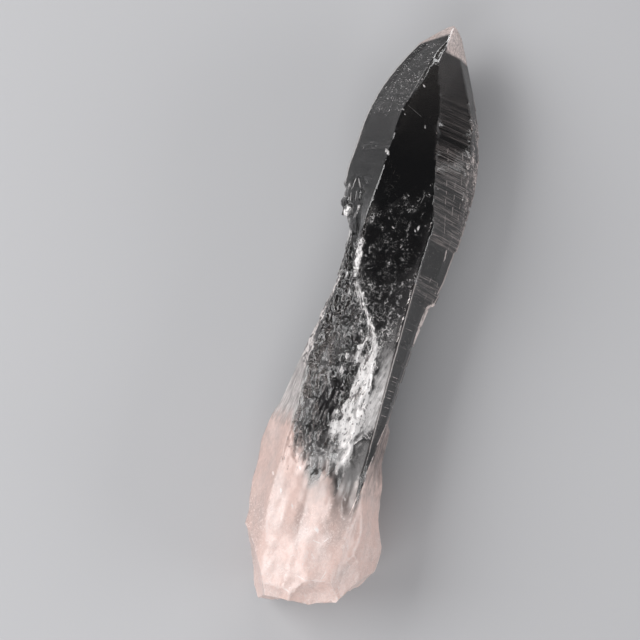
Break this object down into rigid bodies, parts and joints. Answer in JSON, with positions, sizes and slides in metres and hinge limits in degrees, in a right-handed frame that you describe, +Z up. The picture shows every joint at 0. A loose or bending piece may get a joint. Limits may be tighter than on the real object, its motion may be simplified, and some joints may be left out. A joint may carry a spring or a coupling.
{
  "type": "lemurian quartz point",
  "caption": "Clear quartz point lying on a prism face, with a ladder-striated head, a thinner etched neck and a frosted broken base.",
  "frame": {"origin": "centre of the bounding box in X and Y, at the lowest level that the crystal rests on in Z", "axes": "+Y along the crystal towards its point, +Z up, out of the broad front prism face, +X to the right of that face with the point away from the viewer"},
  "size_m": [0.0284, 0.1204, 0.0226],
  "materials": {
    "quartz": "clear and glossy on the head, with ladder striations, and frosted milky white with a faint pink cast towards the broken base"
  },
  "bodies": {
    "root": {"quartz_point": "quartz"}
  },
  "joints": []
}
